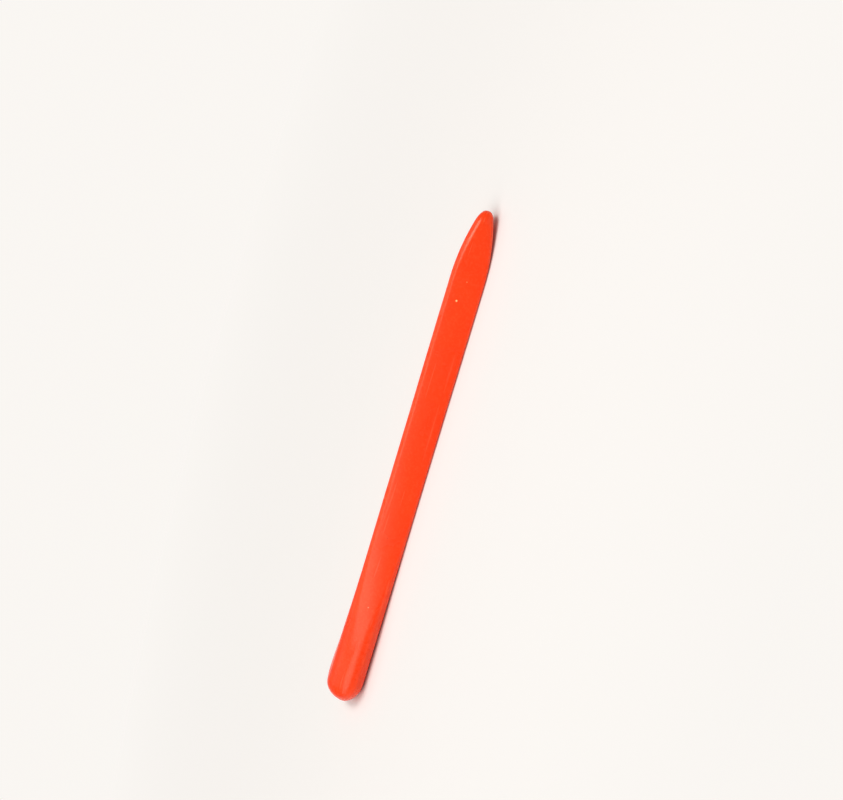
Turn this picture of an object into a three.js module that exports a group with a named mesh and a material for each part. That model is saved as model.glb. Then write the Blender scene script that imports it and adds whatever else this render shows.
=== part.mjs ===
// A double-ended crayon: one moulded stick with a drawn-in pointed nose and a broad rounded end.
// The grip is three-sided. The crayon lies on its flat face at Z = 0 with its ridge up and its nose towards +X.
// Lengths are in millimetres, and the origin is under the middle of the crayon.
import * as THREE from 'three';

// Overall
const OVERALL_LENGTH = 140;

// Belly, the fullest part of the three-sided grip, just behind the nose
const BELLY_WIDTH = 9.7;
const BELLY_HEIGHT = 8.4;
const BELLY_FROM_NOSE = 28;

// Waist, the slimmest part of the grip
const WAIST_WIDTH = 9.6;
const WAIST_HEIGHT = 8.3;
const WAIST_FROM_BROAD_END = 62;

// Rounding of the grip
const FLAT_FACE_CORNER_RADIUS = 0.8;
const RIDGE_RADIUS = 1.5;
const FLANK_CURVE_RADIUS = 34;

// Broad end, a flattened round paddle
const BROAD_END_WIDTH = 13.7;
const BROAD_END_THICKNESS = 7.9;
const BROAD_END_SIDE_RADIUS = 3.5;
const BROAD_END_CROWN_RADIUS = 8.0;
const BROAD_END_FLARE = 29.5;
const BROAD_END_TIP_LENGTH = 6.3;
const BROAD_END_EDGE_LENGTH = 4.2;
const BROAD_END_FACET = 4.8;

// Nose
const NOSE_TAPER = 20;
const NOSE_WIDTH = 3.2;
const NOSE_HEIGHT = 3.0;
const NOSE_AXIS_HEIGHT = 3.4;
const NOSE_CORNER_RADIUS = 1.3;
const NOSE_RIDGE_RADIUS = 2.2;
const NOSE_ROUND_LENGTH = 1.5;
const NOSE_ROUND_DEPTH = 1.05;

// Colour and finish of the moulded stick
const ORANGE_RED = new THREE.Color('rgb(253, 80, 43)');
const WAXY_ROUGHNESS = 0.38;

// Fineness of the mesh
const CORNER_STEPS = 5;
const FLANK_STEPS = 5;
const RIDGE_HALF_STEPS = 4;
const BROAD_TIP_STEPS = 9;
const NOSE_ROUND_STEPS = 6;
const NOSE_STEPS = 14;
const FLARE_STEPS = 20;
const GRIP_STEPS = 16;

// The fullest rounding that a section can take, as a share of the rounding that would swallow a face
const FULLEST_CORNER_SHARE = 0.46;
const FULLEST_RIDGE_SHARE = 0.95;

// How much of the rounding of the broad end's edge is on its flat face side
const UNDER_EDGE_SHARE = 0.38;

const mix = THREE.MathUtils.lerp;
const square = (value) => value * value;

// A quarter circle's rise from 0 to 1, and 1 beyond its length
function roundRise(distance, length) {
  const left = THREE.MathUtils.clamp(1 - distance / length, 0, 1);
  return Math.sqrt(1 - square(left));
}

// The broad end stops at a small flat facet, so its round stretches start part of the way up their arcs
const FACET_ANGLE = Math.asin(BROAD_END_FACET / BROAD_END_WIDTH);

function broadTipRise(x, length) {
  const arcLength = length / Math.cos(FACET_ANGLE);
  return roundRise(x + arcLength - length, arcLength);
}

// Width and height of the grip alone, which swells gently from the waist to the belly
function gripSize(x) {
  const bellyX = OVERALL_LENGTH - BELLY_FROM_NOSE;
  const reach = bellyX - WAIST_FROM_BROAD_END;
  const along = THREE.MathUtils.clamp((x - WAIST_FROM_BROAD_END) / reach, 0, 1);
  const swell = (1 - Math.cos(Math.PI * along)) / 2;
  return {
    width: mix(WAIST_WIDTH, BELLY_WIDTH, swell),
    height: mix(WAIST_HEIGHT, BELLY_HEIGHT, swell),
  };
}

// The section of the crayon at a distance x from the broad end
function sectionAt(x) {
  const grip = gripSize(x);

  // The broad end spreads out of the grip in a bell curve
  const spread = Math.exp(-square(Math.max(0, x - BROAD_END_TIP_LENGTH) / BROAD_END_FLARE));
  let width = mix(grip.width, BROAD_END_WIDTH, spread);
  let height = mix(grip.height, BROAD_END_THICKNESS, spread);
  let cornerRadius = mix(FLAT_FACE_CORNER_RADIUS, BROAD_END_SIDE_RADIUS, spread);
  let ridgeRadius = mix(RIDGE_RADIUS, BROAD_END_CROWN_RADIUS, square(spread));
  let lift = 0;

  // Its tip is round in plan, and its edge is rounded, more above than below
  const planRise = broadTipRise(x, BROAD_END_TIP_LENGTH);
  const edgeRise = broadTipRise(x, BROAD_END_EDGE_LENGTH);
  width *= planRise;
  lift += height * (1 - edgeRise) * UNDER_EDGE_SHARE;
  height *= edgeRise;

  // The nose draws in along a parabola towards its own axis, and its three faces run on almost to the tip
  const toNose = OVERALL_LENGTH - x;
  const alongTaper = Math.max(0, 1 - toNose / NOSE_TAPER);
  const drawn = square(alongTaper);
  width = mix(width, NOSE_WIDTH, drawn);
  height = mix(height, NOSE_HEIGHT, drawn);
  lift = mix(lift, NOSE_AXIS_HEIGHT - NOSE_HEIGHT / 2, drawn);

  // The tip of the nose is rounded over, down to a small flat
  const rounded = NOSE_ROUND_DEPTH * (1 - roundRise(toNose, NOSE_ROUND_LENGTH));
  width -= 2 * rounded;
  height -= 2 * rounded;
  lift += rounded;

  // Its edges grow blunter on the way, the ridge sooner than the corners
  cornerRadius = mix(cornerRadius, NOSE_CORNER_RADIUS, drawn);
  ridgeRadius = mix(ridgeRadius, NOSE_RIDGE_RADIUS, 1 - square(1 - alongTaper));
  cornerRadius = Math.min(cornerRadius, FULLEST_CORNER_SHARE * width, FULLEST_CORNER_SHARE * height);
  const fullestRidge = height / 2 + square(width / 2 - cornerRadius) / (2 * (height - 2 * cornerRadius));
  ridgeRadius = Math.min(ridgeRadius, FULLEST_RIDGE_SHARE * fullestRidge);
  return { x, width, height, lift, cornerRadius, ridgeRadius };
}

// The centre of the circle of the given radius that wraps two smaller circles on their outer side
function flankCentre(corner, cornerRadius, ridge, ridgeRadius, flankRadius) {
  const gap = ridge.clone().sub(corner);
  const apart = gap.length();
  const toCorner = flankRadius - cornerRadius;
  const toRidge = flankRadius - ridgeRadius;
  const along = (square(apart) + square(toCorner) - square(toRidge)) / (2 * apart);
  const aside = Math.sqrt(Math.max(0, square(toCorner) - square(along)));
  const direction = gap.divideScalar(apart);
  const inward = new THREE.Vector2(-direction.y, direction.x);
  return corner.clone().addScaledVector(direction, along).addScaledVector(inward, aside);
}

// Points on an arc, from one angle to another, both ends included
function arcPoints(centre, radius, from, to, steps) {
  const points = [];
  for (let i = 0; i <= steps; i += 1) {
    const angle = mix(from, to, i / steps);
    points.push(new THREE.Vector2(centre.x + radius * Math.cos(angle), centre.y + radius * Math.sin(angle)));
  }
  return points;
}

// Half of a section: flat face corner, flank and ridge, from the flat face up to the middle of the ridge
function halfOutline(section) {
  const { width, height, lift, cornerRadius, ridgeRadius } = section;
  const corner = new THREE.Vector2(width / 2 - cornerRadius, lift + cornerRadius);
  const ridge = new THREE.Vector2(0, lift + height - ridgeRadius);
  const flank = flankCentre(corner, cornerRadius, ridge, ridgeRadius, FLANK_CURVE_RADIUS);
  const flankFrom = Math.atan2(corner.y - flank.y, corner.x - flank.x);
  const flankTo = Math.atan2(ridge.y - flank.y, ridge.x - flank.x);
  return [
    ...arcPoints(corner, cornerRadius, -Math.PI / 2, flankFrom, CORNER_STEPS),
    ...arcPoints(flank, FLANK_CURVE_RADIUS, flankFrom, flankTo, FLANK_STEPS).slice(1, -1),
    ...arcPoints(ridge, ridgeRadius, flankTo, Math.PI / 2, RIDGE_HALF_STEPS),
  ];
}

// The whole section as a closed ring, seen from the nose
function sectionRing(section) {
  const right = halfOutline(section);
  const left = right.slice(0, -1).reverse();
  const middle = OVERALL_LENGTH / 2;
  return [
    ...right.map((point) => new THREE.Vector3(section.x - middle, point.x, point.y)),
    ...left.map((point) => new THREE.Vector3(section.x - middle, -point.x, point.y)),
  ];
}

// Distances from the broad end at which the sections lie, closer together where the form turns
function stationDistances() {
  const distances = [];
  for (let i = 0; i < BROAD_TIP_STEPS; i += 1) {
    const angle = mix(FACET_ANGLE, Math.PI / 2, i / BROAD_TIP_STEPS);
    distances.push(BROAD_END_TIP_LENGTH * (1 - Math.cos(angle) / Math.cos(FACET_ANGLE)));
  }
  const addRun = (from, to, steps) => {
    for (let i = 0; i < steps; i += 1) {
      distances.push(mix(from, to, i / steps));
    }
  };
  const noseStart = OVERALL_LENGTH - NOSE_TAPER;
  const roundStart = OVERALL_LENGTH - NOSE_ROUND_LENGTH;
  addRun(BROAD_END_TIP_LENGTH, WAIST_FROM_BROAD_END, FLARE_STEPS);
  addRun(WAIST_FROM_BROAD_END, noseStart, GRIP_STEPS);
  addRun(noseStart, roundStart, NOSE_STEPS);
  for (let i = 0; i <= NOSE_ROUND_STEPS; i += 1) {
    const angle = (Math.PI / 2) * (i / NOSE_ROUND_STEPS);
    distances.push(roundStart + NOSE_ROUND_LENGTH * Math.sin(angle));
  }
  return distances;
}

// A closed skin through rings of equally many points, with a flat end at each end ring
function skinOfRings(rings) {
  const count = rings[0].length;
  const positions = rings.flat().flatMap((point) => [point.x, point.y, point.z]);
  const triangles = [];
  for (let ring = 0; ring < rings.length - 1; ring += 1) {
    for (let i = 0; i < count; i += 1) {
      const next = (i + 1) % count;
      const a = ring * count + i;
      const b = ring * count + next;
      const c = a + count;
      const d = b + count;
      triangles.push(a, b, c, b, d, c);
    }
  }
  const last = (rings.length - 1) * count;
  for (let i = 1; i < count - 1; i += 1) {
    triangles.push(0, i + 1, i);
    triangles.push(last, last + i, last + i + 1);
  }
  const skin = new THREE.BufferGeometry();
  skin.setAttribute('position', new THREE.Float32BufferAttribute(positions, 3));
  skin.setIndex(triangles);
  skin.computeVertexNormals();
  return skin;
}

function makeCrayonBody() {
  const rings = stationDistances().map((x) => sectionRing(sectionAt(x)));
  const material = new THREE.MeshStandardMaterial({
    color: ORANGE_RED,
    roughness: WAXY_ROUGHNESS,
    metalness: 0,
  });
  const body = new THREE.Mesh(skinOfRings(rings), material);
  body.name = 'crayon_body';
  return body;
}

const crayon = new THREE.Group();
crayon.add(makeCrayonBody());

export default crayon;
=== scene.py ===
import math

import bmesh
import bpy
from mathutils import Matrix, Vector, noise


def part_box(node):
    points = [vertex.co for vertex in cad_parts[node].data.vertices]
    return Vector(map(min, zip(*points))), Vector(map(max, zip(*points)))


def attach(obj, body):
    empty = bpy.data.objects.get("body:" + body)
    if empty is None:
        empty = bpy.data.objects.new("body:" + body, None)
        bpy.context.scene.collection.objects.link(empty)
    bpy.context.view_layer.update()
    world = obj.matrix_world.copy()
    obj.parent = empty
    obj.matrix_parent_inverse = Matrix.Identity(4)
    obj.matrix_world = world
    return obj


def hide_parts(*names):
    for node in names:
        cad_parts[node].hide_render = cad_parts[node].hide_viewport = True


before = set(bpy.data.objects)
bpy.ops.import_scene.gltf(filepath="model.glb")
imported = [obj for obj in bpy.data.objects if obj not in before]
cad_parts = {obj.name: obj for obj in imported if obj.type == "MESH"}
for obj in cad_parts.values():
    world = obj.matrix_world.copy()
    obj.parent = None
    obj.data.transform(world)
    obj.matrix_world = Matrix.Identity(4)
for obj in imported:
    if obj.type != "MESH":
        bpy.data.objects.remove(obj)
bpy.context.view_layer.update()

# The crayon lies on its flat face at Z = 0, with its ridge up and its nose towards +X.
# Lengths are in metres, and most are written as millimetres times MM.
MM = 0.001
stick_low, stick_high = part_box("crayon_body")

# Overall sizes come from the frame
STICK_LENGTH = stick_high.x - stick_low.x
BROAD_END_WIDTH = stick_high.y - stick_low.y
BELLY_HEIGHT = stick_high.z - stick_low.z

# Three-sided grip
BELLY_WIDTH = 9.7 * MM
BELLY_FROM_NOSE = 28 * MM
WAIST_WIDTH = 9.6 * MM
WAIST_HEIGHT = 8.3 * MM
WAIST_FROM_BROAD_END = 62 * MM
CORNER_RADIUS = 0.8 * MM
RIDGE_RADIUS = 1.5 * MM
FLANK_RADIUS = 34 * MM

# Broad end
BROAD_END_THICKNESS = 7.9 * MM
BROAD_END_SIDE_RADIUS = 3.5 * MM
BROAD_END_CROWN_RADIUS = 8.0 * MM
BROAD_END_FLARE = 29.5 * MM
BROAD_TIP_LENGTH = 6.3 * MM
BROAD_EDGE_LENGTH = 4.2 * MM
BROAD_FACET_WIDTH = 4.8 * MM
BROAD_UNDER_EDGE_SHARE = 0.38
FACET_ANGLE = math.asin(BROAD_FACET_WIDTH / BROAD_END_WIDTH)

# Nose
NOSE_TAPER = 20 * MM
NOSE_WIDTH = 3.2 * MM
NOSE_HEIGHT = 3.0 * MM
NOSE_AXIS_HEIGHT = 3.4 * MM
NOSE_CORNER_RADIUS = 1.3 * MM
NOSE_RIDGE_RADIUS = 2.2 * MM

# Rounding of the nose's tip: at its sides, on its ridge and underneath
NOSE_ROUND_LENGTH = 1.5 * MM
NOSE_ROUND_DEPTH = 1.05 * MM
RIDGE_ROUND_LENGTH = 3.0 * MM
RIDGE_ROUND_DEPTH = 1.4 * MM
UNDER_ROUND_LENGTH = 1.5 * MM
UNDER_ROUND_DEPTH = 0.9 * MM

# Shallow dome on each end, and the shares of the end's size at which its rings lie
BROAD_END_DOME = 0.36 * MM
NOSE_DOME = 0.03 * MM
DOME_SHARES = (0.92, 0.75, 0.5, 0.25)

# Mould line along each lower corner, half of which takes at most one part in so many of the
# corner's rounding above it
SEAM_HEIGHT = 0.045 * MM
SEAM_HALF_WIDTH = 0.13 * MM
SEAM_PARTS = 3

# Slight waves of the faces, which die out below a height so that the flat face stays flat
WAVE_DEPTH = 0.022 * MM
WAVE_LENGTH = 7 * MM
WAVE_FULL_HEIGHT = 1.5 * MM

# How much of the paler edge tint the tips take, and the radius below which an edge takes it fully. The
# tint is partly worn wax and partly a painted highlight along the edges.
TIP_WEAR_AND_GLINT_SHARE = 0.6
FULL_WEAR_AND_GLINT_RADIUS = 1.4 * MM

# Fullest rounding: a corner's radius as a share of the section's width or height, and the ridge's
# as a share of the radius that would swallow the flanks
FULLEST_CORNER_SHARE = 0.46
FULLEST_RIDGE_SHARE = 0.95


def mix(a, b, share):
    """The value that lies the share of the way from a to b."""
    return a + (b - a) * share


def round_rise(distance, length):
    """A quarter circle's rise from 0 to 1, and 1 beyond its length."""
    left = min(max(1 - distance / length, 0), 1)
    return math.sqrt(1 - left * left)


def broad_tip_rise(x, length):
    """The same rise for the broad end, which starts at a small facet, part of the way up the arc."""
    arc_length = length / math.cos(FACET_ANGLE)
    return round_rise(x + arc_length - length, arc_length)


def stick_section(x):
    """Width, height, lift off the table and rounding of the stick at x from the broad end."""
    # The grip swells gently from the waist to the belly
    belly_x = STICK_LENGTH - BELLY_FROM_NOSE
    along = (x - WAIST_FROM_BROAD_END) / (belly_x - WAIST_FROM_BROAD_END)
    swell = (1 - math.cos(math.pi * min(max(along, 0), 1))) / 2

    # The broad end flares out of the grip in a bell curve
    flare = math.exp(-((max(0, x - BROAD_TIP_LENGTH) / BROAD_END_FLARE) ** 2))
    width = mix(mix(WAIST_WIDTH, BELLY_WIDTH, swell), BROAD_END_WIDTH, flare)
    height = mix(mix(WAIST_HEIGHT, BELLY_HEIGHT, swell), BROAD_END_THICKNESS, flare)
    corner = mix(CORNER_RADIUS, BROAD_END_SIDE_RADIUS, flare)
    ridge = mix(RIDGE_RADIUS, BROAD_END_CROWN_RADIUS, flare**2)

    # Its tip is round in plan, and its edge is rounded, more above than below
    edge_rise = broad_tip_rise(x, BROAD_EDGE_LENGTH)
    width *= broad_tip_rise(x, BROAD_TIP_LENGTH)
    lift = height * (1 - edge_rise) * BROAD_UNDER_EDGE_SHARE
    height *= edge_rise

    # The nose draws in along a parabola towards its own axis, and its tip is rounded over
    to_nose = STICK_LENGTH - x
    along_taper = max(0, 1 - to_nose / NOSE_TAPER)
    drawn = along_taper**2
    rounded = NOSE_ROUND_DEPTH * (1 - round_rise(to_nose, NOSE_ROUND_LENGTH))
    above = RIDGE_ROUND_DEPTH * (1 - round_rise(to_nose, RIDGE_ROUND_LENGTH))
    below = UNDER_ROUND_DEPTH * (1 - round_rise(to_nose, UNDER_ROUND_LENGTH))
    width = mix(width, NOSE_WIDTH, drawn) - 2 * rounded
    height = mix(height, NOSE_HEIGHT, drawn) - above - below
    lift = mix(lift, NOSE_AXIS_HEIGHT - NOSE_HEIGHT / 2, drawn) + below

    # Its edges grow blunter on the way, the ridge sooner than the corners
    corner = mix(corner, NOSE_CORNER_RADIUS, drawn)
    ridge = mix(ridge, NOSE_RIDGE_RADIUS, 1 - (1 - along_taper) ** 2)
    corner = min(corner, FULLEST_CORNER_SHARE * width, FULLEST_CORNER_SHARE * height)
    fullest = height / 2 + (width / 2 - corner) ** 2 / (2 * (height - 2 * corner))
    ridge = min(ridge, FULLEST_RIDGE_SHARE * fullest)
    return width, height, lift, corner, ridge


def flank_centre(corner_at, corner, ridge_at, ridge):
    """Centre of the large circle that the flank follows from the corner's circle to the ridge's."""
    gap = ridge_at - corner_at
    to_corner = FLANK_RADIUS - corner
    to_ridge = FLANK_RADIUS - ridge
    along = (gap.length_squared + to_corner**2 - to_ridge**2) / (2 * gap.length)
    aside = math.sqrt(max(0, to_corner**2 - along**2))
    direction = gap.normalized()
    return corner_at + direction * along + Vector((-direction.y, direction.x)) * aside


# Steps round half a section, from the middle of the flat face up to the ridge
FLAT_STEPS = 3
UNDER_CORNER_STEPS = 5
UPPER_CORNER_STEPS = 4
FLANK_STEPS = 8
RIDGE_STEPS = 6


def arc(centre, radius, start, end, steps):
    """(centre, radius, turn) for each point of an arc, both of its ends included."""
    turns = [mix(start, end, i / steps) for i in range(steps + 1)]
    return [(centre, radius, turn) for turn in turns]


def half_section(x):
    """(place, outward direction, edge share, seam share) for each point of half a section."""
    width, height, lift, corner, ridge = stick_section(x)
    corner_at = Vector((width / 2 - corner, lift + corner))
    ridge_at = Vector((0, lift + height - ridge))
    flank_at = flank_centre(corner_at, corner, ridge_at, ridge)
    to_corner = corner_at - flank_at
    to_ridge = ridge_at - flank_at
    start = math.atan2(to_corner.y, to_corner.x)
    end = math.atan2(to_ridge.y, to_ridge.x)
    down = Vector((0, -1))
    points = []
    for i in range(FLAT_STEPS):
        points.append((Vector((corner_at.x * i / FLAT_STEPS, lift)), down, 0.0, 0.0))

    # The mould line's own point stands between two close neighbours, at the corner's widest place
    seam_turn = min(SEAM_HALF_WIDTH / corner, start / SEAM_PARTS)
    rounds = arc(corner_at, corner, -math.pi / 2, -seam_turn, UNDER_CORNER_STEPS)
    rounds.append((corner_at, corner, 0.0))
    rounds += arc(corner_at, corner, seam_turn, start, UPPER_CORNER_STEPS)
    flank = arc(flank_at, FLANK_RADIUS, start, end, FLANK_STEPS)[1:-1]
    top = arc(ridge_at, ridge, end, math.pi / 2, RIDGE_STEPS)
    seam_number = UNDER_CORNER_STEPS + 1

    # An edge is paler, partly from wear and partly from a painted highlight, most in the middle of its
    # rounding, and the flank gets none of it
    for number, (centre, radius, turn) in enumerate(rounds + flank + top):
        out = Vector((math.cos(turn), math.sin(turn)))
        seam = 1.0 if number == seam_number else 0.0
        if number < len(rounds):
            across_edge = (turn + math.pi / 2) / (start + math.pi / 2)
        elif number < len(rounds + flank):
            across_edge = 0.0
        else:
            across_edge = (turn - end) / (math.pi / 2 - end) / 2
        edge = min(1.0, FULL_WEAR_AND_GLINT_RADIUS / radius) * math.sin(math.pi * across_edge)
        points.append((centre + out * radius, out, edge, seam))
    return points


def end_roundness(x):
    """1 at the very ends, where the section is an ellipse, and 0 where the tips begin."""
    broad = 1 - x / BROAD_TIP_LENGTH
    nose = 1 - (STICK_LENGTH - x) / NOSE_ROUND_LENGTH
    return max(broad, nose, 0) ** 2


def stick_ring(x):
    """The whole section as a closed ring, from the middle of the flat face and back to it.

    It turns into an ellipse towards the very ends, and the mould line dies out there.
    """
    roundness = end_roundness(x)
    half = half_section(x)
    low = half[0][0].y
    high = half[-1][0].y
    middle = Vector((0, (low + high) / 2))
    half_width = max(at.x for at, out, edge, seam in half)
    half_height = (high - low) / 2
    right = []
    for at, out, edge, seam in half:
        away = (at - middle).normalized()
        reach = 1 / math.hypot(away.x / half_width, away.y / half_height)
        at = at.lerp(middle + away * reach, roundness)
        edge = mix(edge, TIP_WEAR_AND_GLINT_SHARE, roundness)
        right.append((at, out, edge, seam * (1 - roundness)))
    left = [
        (Vector((-at.x, at.y)), Vector((-out.x, out.y)), edge, seam)
        for at, out, edge, seam in right
    ]
    return right + left[-2:0:-1]


# Steps from section to section along each stretch of the stick
BROAD_TIP_STEPS = 16
FLARE_STEPS = 40
GRIP_STEPS = 40
NOSE_STEPS = 26
NOSE_ROUND_STEPS = 9


def stick_stations():
    """Distances of the sections from the broad end, closer together where the form turns."""
    stations = []
    for i in range(BROAD_TIP_STEPS):
        turn = mix(FACET_ANGLE, math.pi / 2, i / BROAD_TIP_STEPS)
        stations.append(BROAD_TIP_LENGTH * (1 - math.cos(turn) / math.cos(FACET_ANGLE)))
    nose_start = STICK_LENGTH - NOSE_TAPER
    round_start = STICK_LENGTH - NOSE_ROUND_LENGTH
    runs = (
        (BROAD_TIP_LENGTH, WAIST_FROM_BROAD_END, FLARE_STEPS),
        (WAIST_FROM_BROAD_END, nose_start, GRIP_STEPS),
        (nose_start, round_start, NOSE_STEPS),
    )
    for start, end, steps in runs:
        stations += [mix(start, end, i / steps) for i in range(steps)]
    for i in range(NOSE_ROUND_STEPS + 1):
        turn = math.pi / 2 * i / NOSE_ROUND_STEPS
        stations.append(round_start + NOSE_ROUND_LENGTH * math.sin(turn))
    return stations


def surface_wave(place):
    """Slight hollows and swells, as a moulded waxy face has."""
    return noise.noise(place / WAVE_LENGTH) * WAVE_DEPTH


def place_ring(ring, around, edge_layer, x, share, dome):
    """Moves a ring of vertices onto the section at x, with the mould's seam and the slight waves.

    A share below 1 draws the ring in towards the section's middle and out along the dome.
    """
    outline = stick_ring(x)
    low = min(at.y for at, out, edge, seam in outline)
    high = max(at.y for at, out, edge, seam in outline)
    middle = Vector((stick_low.x + x, 0, (low + high) / 2))
    bulge = Vector((dome * (1 - share * share), 0, 0))
    for vert in ring:
        at, out, edge, seam = outline[vert[around]]
        place = Vector((stick_low.x + x, at.x, at.y))
        clear_of_table = max(0.0, min(1.0, at.y / WAVE_FULL_HEIGHT))
        raised = seam * SEAM_HEIGHT + clear_of_table * surface_wave(place)
        place += Vector((0, out.x, out.y)) * raised
        vert.co = middle.lerp(place, share) + bulge
        vert[edge_layer] = edge


def piece_of(bm, name):
    """An object at the origin, made of the finished bmesh."""
    mesh = bpy.data.meshes.new(name)
    bm.to_mesh(mesh)
    bm.free()
    piece = bpy.data.objects.new(name, mesh)
    bpy.context.scene.collection.objects.link(piece)
    return piece


def corner_numbers(part):
    """The numbers of an edge's or a face's vertices, in rising order."""
    return sorted(vert.index for vert in part.verts)


def put_in_order(parts, key):
    """Puts a bmesh's parts in the order of the key.

    Extruding leaves them in an order that changes from run to run.
    """
    for number, part in enumerate(sorted(parts, key=key)):
        part.index = number
    parts.sort()


# Subdivisions of the stick's skin
SKIN_LEVELS = 1


def mould_stick():
    """The crayon's skin: one ring of vertices, extruded from section to section, with closed ends."""
    bm = bmesh.new()
    around = bm.verts.layers.int.new("around")
    edge_layer = bm.verts.layers.float.new("edge_share")
    stations = stick_stations()
    rings = [(0, share, -BROAD_END_DOME) for share in reversed(DOME_SHARES)]
    rings += [(x, 1.0, 0.0) for x in stations]
    rings += [(STICK_LENGTH, share, NOSE_DOME) for share in DOME_SHARES]
    count = len(stick_ring(stations[0]))
    ring = bmesh.ops.create_circle(bm, segments=count, radius=BELLY_WIDTH)["verts"]
    for number, vert in enumerate(ring):
        vert[around] = number
    place_ring(ring, around, edge_layer, *rings[0])
    edges = list(bm.edges)
    bmesh.ops.contextual_create(bm, geom=edges)
    for station in rings[1:]:
        grown = bmesh.ops.extrude_edge_only(bm, edges=edges)["geom"]
        ring = [part for part in grown if isinstance(part, bmesh.types.BMVert)]
        place_ring(ring, around, edge_layer, *station)
        fresh = set(ring)
        grown_edges = [part for part in grown if isinstance(part, bmesh.types.BMEdge)]
        edges = [edge for edge in grown_edges if fresh.issuperset(edge.verts)]
    bmesh.ops.contextual_create(bm, geom=edges)
    ends = [face for face in bm.faces if len(face.verts) == count]
    bmesh.ops.poke(bm, faces=ends)
    bmesh.ops.recalc_face_normals(bm, faces=bm.faces)
    put_in_order(bm.verts, lambda vert: tuple(vert.co))
    put_in_order(bm.edges, corner_numbers)
    put_in_order(bm.faces, corner_numbers)
    stick = piece_of(bm, "crayon_stick")
    for polygon in stick.data.polygons:
        polygon.use_smooth = True
    smooth = stick.modifiers.new("fine_skin", "SUBSURF")
    smooth.levels = SKIN_LEVELS
    smooth.render_levels = SKIN_LEVELS
    return stick


# Colours of the wax, the marks in it and its gloss
WAX_RED = (0.975, 0.052, 0.006, 1.0)
WAX_DEEP = (0.95, 0.042, 0.003, 1.0)
# The pale wax tints the grain and the scuffs, and the edges, where it is partly a painted highlight
PALE_WAX = (1.0, 0.19, 0.085, 1.0)
PALE_FLECK = (1.0, 0.62, 0.38, 1.0)
DARK_FLECK = (0.30, 0.012, 0.008, 1.0)
STRAY_SPECK = (1.0, 0.56, 0.25, 1.0)
WARM_GLOSS = (1.0, 0.80, 0.62, 1.0)

# Light in the wax: how strongly it bends, how much of it sinks in, how deep, and each colour's share
WAX_IOR = 1.44
SINKING_SHARE = 0.14
SINKING_DEPTH = 1.3 * MM
SINKING_BY_COLOUR = (1.0, 0.28, 0.10)

# Patterns in the wax: how many there are in a metre, how broken up or how large, and how drawn out.
# The shift keeps one pattern from lying on another.
CLOUDS = {"per_metre": 110, "detail": 3}
GRAIN = {"per_metre": 1500, "detail": 2}
FLOW_LINES = {"per_metre": 900, "detail": 2, "stretch": (0.05, 1, 1)}
SCUFFS = {"per_metre": 1300, "detail": 1, "stretch": (0.035, 1, 0.8), "shift": 3.1}
EDGE_WEAR_AND_GLINT_NOISE = {"per_metre": 260, "detail": 4, "shift": 7.7}
PALE_FLECKS = {"per_metre": 150, "size": 0.26 * MM, "shift": 0.37}
DARK_FLECKS = {"per_metre": 130, "size": 0.20 * MM, "shift": 0.81}

# Each pattern's low and high, and the shares or roughness that they are carried over to
CLOUD_TINTING = (0.35, 0.7, 0.0, 0.7)
GRAIN_TINTING = (0.45, 0.8, 0.0, 0.12)
SCUFF_LINES = (0.66, 0.78, 0.0, 1.0)
EDGE_WEAR_AND_GLINT_PATCHES = (0.38, 0.72, 0.0, 1.0)
CLOUD_ROUGHNESS = (0.3, 0.7, 0.21, 0.29)

# How the paler edge tint, partly wear and partly a painted highlight, gathers along the middle of an
# edge, how much each mark shows, and how rough it is
EDGE_WEAR_AND_GLINT_POWER = 2.0
EDGE_WEAR_AND_GLINT_TINT = 0.30
SCUFF_TINT = 0.22
PALE_FLECK_TINT = 0.75
DARK_FLECK_TINT = 0.80
RUBBED_ROUGHNESS = 0.14
SCUFF_ROUGHNESS = 0.12

# Fine relief of the moulded face: how much of each pattern is in it, its strength and its depth
GRAIN_RELIEF = 0.35
FLOW_RELIEF = 0.65
RELIEF_STRENGTH = 0.35
RELIEF_DEPTH = 0.03 * MM

# Place and size of stray pale specks in the wax: the clearest behind the nose, a faint one ahead
# of it, and two on the crown of the broad end
SPECKS = (
    (Vector((44.8, -2.45, 5.9)) * MM, 0.33 * MM),
    (Vector((50.4, -3.0, 4.8)) * MM, 0.13 * MM),
    (Vector((-53.7, 1.3, 7.8)) * MM, 0.20 * MM),
    (Vector((-48.4, 1.2, 7.9)) * MM, 0.17 * MM),
)


def spread(tree, value, low, high, to_low, to_high):
    """The value between low and high, carried over to lie between to_low and to_high."""
    node = tree.nodes.new("ShaderNodeMapRange")
    node.inputs["From Min"].default_value = low
    node.inputs["From Max"].default_value = high
    node.inputs["To Min"].default_value = to_low
    node.inputs["To Max"].default_value = to_high
    tree.links.new(value, node.inputs["Value"])
    return node.outputs["Result"]


def joined(tree, operation, first, second):
    """The outcome of the operation on two values, each of them a number or a node's output."""
    node = tree.nodes.new("ShaderNodeMath")
    node.operation = operation
    for value, socket in zip((first, second), node.inputs):
        if isinstance(value, float):
            socket.default_value = value
        else:
            tree.links.new(value, socket)
    return node.outputs["Value"]


def noise_at(tree, place, per_metre, detail, stretch=(1, 1, 1), shift=0.0):
    """Cloudy noise on the stick's own coordinates, drawn out along an axis by a stretch below 1."""
    lay = tree.nodes.new("ShaderNodeMapping")
    lay.inputs["Scale"].default_value = stretch
    lay.inputs["Location"].default_value = (shift, shift, shift)
    cloud = tree.nodes.new("ShaderNodeTexNoise")
    cloud.inputs["Scale"].default_value = per_metre
    cloud.inputs["Detail"].default_value = detail
    tree.links.new(place, lay.inputs["Vector"])
    tree.links.new(lay.outputs["Vector"], cloud.inputs["Vector"])
    return cloud.outputs["Fac"]


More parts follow.
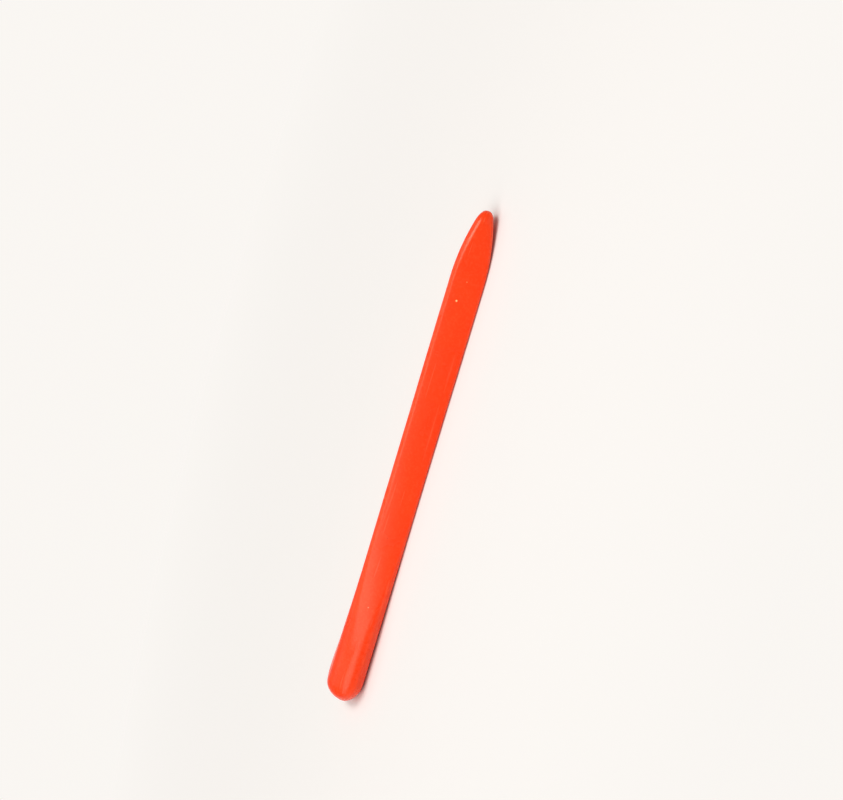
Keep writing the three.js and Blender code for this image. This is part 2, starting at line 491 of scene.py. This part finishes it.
def flecks_at(tree, place, per_metre, size, shift):
    """1 in the middle of small scattered dots and 0 beyond their size, with a soft rim."""
    lay = tree.nodes.new("ShaderNodeMapping")
    lay.inputs["Location"].default_value = (shift, shift, shift)
    cells = tree.nodes.new("ShaderNodeTexVoronoi")
    cells.inputs["Scale"].default_value = per_metre
    tree.links.new(place, lay.inputs["Vector"])
    tree.links.new(lay.outputs["Vector"], cells.inputs["Vector"])
    return spread(tree, cells.outputs["Distance"], size * per_metre, size * per_metre / 2, 0.0, 1.0)


def speck_at(tree, place, centre, size):
    """1 close to the centre and 0 beyond the size, with a soft rim."""
    distance = tree.nodes.new("ShaderNodeVectorMath")
    distance.operation = "DISTANCE"
    distance.inputs[1].default_value = centre
    tree.links.new(place, distance.inputs[0])
    return spread(tree, distance.outputs["Value"], size, size / 2, 0.0, 1.0)


def tinted(tree, colour, share, tint):
    """The colour, turned towards the tint where the share is high."""
    node = tree.nodes.new("ShaderNodeMix")
    node.data_type = "RGBA"
    tree.links.new(share, node.inputs["Factor"])
    if isinstance(colour, tuple):
        node.inputs["A"].default_value = colour
    else:
        tree.links.new(colour, node.inputs["A"])
    node.inputs["B"].default_value = tint
    return node.outputs["Result"]


def waxy_red():
    """Smooth orange-red wax and plastic mix: soft gloss, faint clouds, paler edges that are partly worn
    and partly a painted highlight, and stray flecks.
    """
    material = bpy.data.materials.new("orange_red_wax")
    material.use_nodes = True
    tree = material.node_tree
    shader = tree.nodes["Principled BSDF"]
    shader.inputs["IOR"].default_value = WAX_IOR
    shader.inputs["Specular Tint"].default_value = WARM_GLOSS
    shader.inputs["Subsurface Weight"].default_value = SINKING_SHARE
    shader.inputs["Subsurface Radius"].default_value = SINKING_BY_COLOUR
    shader.inputs["Subsurface Scale"].default_value = SINKING_DEPTH
    place = tree.nodes.new("ShaderNodeTexCoord").outputs["Object"]
    edges = tree.nodes.new("ShaderNodeAttribute")
    edges.attribute_name = "edge_share"

    clouds = noise_at(tree, place, **CLOUDS)
    grain = noise_at(tree, place, **GRAIN)
    flow_lines = noise_at(tree, place, **FLOW_LINES)
    scuffs = spread(tree, noise_at(tree, place, **SCUFFS), *SCUFF_LINES)
    edge_patches = spread(tree, noise_at(tree, place, **EDGE_WEAR_AND_GLINT_NOISE), *EDGE_WEAR_AND_GLINT_PATCHES)
    # Paler edges: partly worn wax, partly a painted highlight where the edges catch the light
    edge_wear_and_glint = joined(tree, "POWER", edges.outputs["Fac"], EDGE_WEAR_AND_GLINT_POWER)
    worn_and_glinting = joined(tree, "MULTIPLY", edge_wear_and_glint, edge_patches)
    pale_flecks = flecks_at(tree, place, **PALE_FLECKS)
    dark_flecks = flecks_at(tree, place, **DARK_FLECKS)

    colour = tinted(tree, WAX_RED, spread(tree, clouds, *CLOUD_TINTING), WAX_DEEP)
    colour = tinted(tree, colour, spread(tree, grain, *GRAIN_TINTING), PALE_WAX)
    marks = (
        (worn_and_glinting, EDGE_WEAR_AND_GLINT_TINT, PALE_WAX),
        (scuffs, SCUFF_TINT, PALE_WAX),
        (pale_flecks, PALE_FLECK_TINT, PALE_FLECK),
        (dark_flecks, DARK_FLECK_TINT, DARK_FLECK),
    )
    for mark, share, tint in marks:
        colour = tinted(tree, colour, joined(tree, "MULTIPLY", mark, share), tint)
    for centre, size in SPECKS:
        colour = tinted(tree, colour, speck_at(tree, place, centre, size), STRAY_SPECK)
    tree.links.new(colour, shader.inputs["Base Color"])

    rough = spread(tree, clouds, *CLOUD_ROUGHNESS)
    for mark, share in ((worn_and_glinting, RUBBED_ROUGHNESS), (scuffs, SCUFF_ROUGHNESS)):
        rough = joined(tree, "ADD", rough, joined(tree, "MULTIPLY", mark, share))
    tree.links.new(rough, shader.inputs["Roughness"])

    grain_relief = joined(tree, "MULTIPLY", grain, GRAIN_RELIEF)
    flow_relief = joined(tree, "MULTIPLY", flow_lines, FLOW_RELIEF)
    bump = tree.nodes.new("ShaderNodeBump")
    bump.inputs["Strength"].default_value = RELIEF_STRENGTH
    bump.inputs["Distance"].default_value = RELIEF_DEPTH
    tree.links.new(joined(tree, "ADD", grain_relief, flow_relief), bump.inputs["Height"])
    tree.links.new(bump.outputs["Normal"], shader.inputs["Normal"])
    return material


# Photograph's frame, the place of the crayon's middle in it, and how many pixels a millimetre takes
FRAME_PIXELS = (843, 800)
STICK_MIDDLE_PIXEL = (413.3, 458.5)
PIXELS_IN_A_MM = 3.682
PIXEL = MM / PIXELS_IN_A_MM

# Camera: its height above the near side, its swing towards the nose, and the lean of the picture
VIEW_HEIGHT_DEGREES = 29.0
VIEW_TOWARDS_NOSE_DEGREES = 8.0
LEAN_DEGREES = 16.8
AIM_HEIGHT = 3.2 * MM
LENS_MM = 90.0
SENSOR_MM = 36.0
NEAREST_SEEN = 0.01
FURTHEST_SEEN = 20.0


def make_camera():
    """Looks at the near flank, with the nose up and to the right as in the photograph."""
    height = math.radians(VIEW_HEIGHT_DEGREES)
    swing = math.radians(VIEW_TOWARDS_NOSE_DEGREES)
    back = Vector((
        math.sin(swing),
        -math.cos(swing) * math.cos(height),
        math.cos(swing) * math.sin(height),
    ))
    along = (Vector((1, 0, 0)) - back * back.x).normalized()
    across = along.cross(back)
    lean = math.radians(LEAN_DEGREES)
    up = along * math.cos(lean) - across * math.sin(lean)
    right = across * math.cos(lean) + along * math.sin(lean)
    aside = (FRAME_PIXELS[0] / 2 - STICK_MIDDLE_PIXEL[0]) * PIXEL
    above = (STICK_MIDDLE_PIXEL[1] - FRAME_PIXELS[1] / 2) * PIXEL
    stick_middle = Vector((0, 0, AIM_HEIGHT))
    aim = stick_middle + right * aside + up * above
    distance = FRAME_PIXELS[0] * PIXEL * LENS_MM / SENSOR_MM
    data = bpy.data.cameras.new("camera")
    data.lens = LENS_MM
    data.sensor_width = SENSOR_MM
    data.clip_start = NEAREST_SEEN
    data.clip_end = FURTHEST_SEEN
    camera = bpy.data.objects.new("camera", data)
    bpy.context.scene.collection.objects.link(camera)
    turn = Matrix((right, up, back)).transposed().to_4x4()
    camera.matrix_world = Matrix.Translation(aim + back * distance) @ turn
    bpy.context.scene.camera = camera


# Soft lamps, each with its name, place, size and watts
LAMPS = (
    ("overhead", (0.0, 0.42, 0.86), (0.9, 0.75), 1.4),
    ("towards_nose", (0.30, -0.165, 0.86), (0.52, 0.34), 4.3),
    ("towards_broad_end", (-0.36, -0.43, 0.83), (0.7, 0.85), 5.1),
    ("side", (-0.9, -0.40, 0.5), (0.5, 0.5), 1.0),
)
SKY_COLOUR = (1.0, 0.99, 0.975, 1.0)
SKY_STRENGTH = 0.26


def add_lamp(name, place, size, watts):
    """A rectangular lamp that faces the origin."""
    data = bpy.data.lights.new(name, "AREA")
    data.shape = "RECTANGLE"
    data.size, data.size_y = size
    data.energy = watts
    lamp = bpy.data.objects.new(name, data)
    bpy.context.scene.collection.objects.link(lamp)
    lamp.location = place
    lamp.rotation_euler = (-Vector(place)).to_track_quat("-Z", "Y").to_euler()


def make_studio():
    """The lamps, and a faint even light from all round."""
    world = bpy.data.worlds.new("studio")
    bpy.context.scene.world = world
    world.use_nodes = True
    sky = world.node_tree.nodes["Background"]
    sky.inputs["Color"].default_value = SKY_COLOUR
    sky.inputs["Strength"].default_value = SKY_STRENGTH
    for lamp in LAMPS:
        add_lamp(*lamp)


# Floor, which turns into the backdrop between two distances from the stick's middle.
# A distance along the stick counts half.
FLOOR_REACH = 3.0
FLOOR_COLOUR = (0.795, 0.767, 0.736, 1.0)
FLOOR_ROUGHNESS = 0.9
BACKDROP_COLOUR = (0.955, 0.925, 0.890, 1.0)
BACKDROP_STRETCH = (0.5, 1.0, 1.0)
BACKDROP_FROM = 0.045
BACKDROP_FULL = 0.16


def pale_floor():
    """Matt floor that takes the stick's shadow, and turns into an evenly pale backdrop further out."""
    material = bpy.data.materials.new("pale_floor")
    material.use_nodes = True
    tree = material.node_tree
    shader = tree.nodes["Principled BSDF"]
    shader.inputs["Base Color"].default_value = FLOOR_COLOUR
    shader.inputs["Roughness"].default_value = FLOOR_ROUGHNESS
    shader.inputs["Specular IOR Level"].default_value = 0.0
    backdrop = tree.nodes.new("ShaderNodeEmission")
    backdrop.inputs["Color"].default_value = BACKDROP_COLOUR
    lay = tree.nodes.new("ShaderNodeMapping")
    lay.inputs["Scale"].default_value = BACKDROP_STRETCH
    tree.links.new(tree.nodes.new("ShaderNodeTexCoord").outputs["Object"], lay.inputs["Vector"])
    distance = tree.nodes.new("ShaderNodeVectorMath")
    distance.operation = "LENGTH"
    tree.links.new(lay.outputs["Vector"], distance.inputs[0])
    far = spread(tree, distance.outputs["Value"], BACKDROP_FROM, BACKDROP_FULL, 0.0, 1.0)
    seen = tree.nodes.new("ShaderNodeLightPath")
    seen_by = joined(tree, "MAXIMUM", seen.outputs["Is Camera Ray"], seen.outputs["Is Glossy Ray"])
    seen_by = joined(tree, "MAXIMUM", seen_by, seen.outputs["Is Transmission Ray"])
    blend = tree.nodes.new("ShaderNodeMixShader")
    tree.links.new(joined(tree, "MULTIPLY", far, seen_by), blend.inputs["Fac"])
    tree.links.new(shader.outputs["BSDF"], blend.inputs[1])
    tree.links.new(backdrop.outputs["Emission"], blend.inputs[2])
    tree.links.new(blend.outputs["Shader"], tree.nodes["Material Output"].inputs["Surface"])
    return material


def make_floor():
    """A wide flat floor that the stick lies on."""
    bm = bmesh.new()
    bmesh.ops.create_grid(bm, x_segments=1, y_segments=1, size=FLOOR_REACH)
    floor = piece_of(bm, "floor")
    floor.data.materials.append(pale_floor())


make_camera()
make_studio()
make_floor()
stick = mould_stick()
stick.data.materials.append(waxy_red())
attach(stick, "root")
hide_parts("crayon_body")

bpy.context.scene.view_settings.view_transform = "Standard"
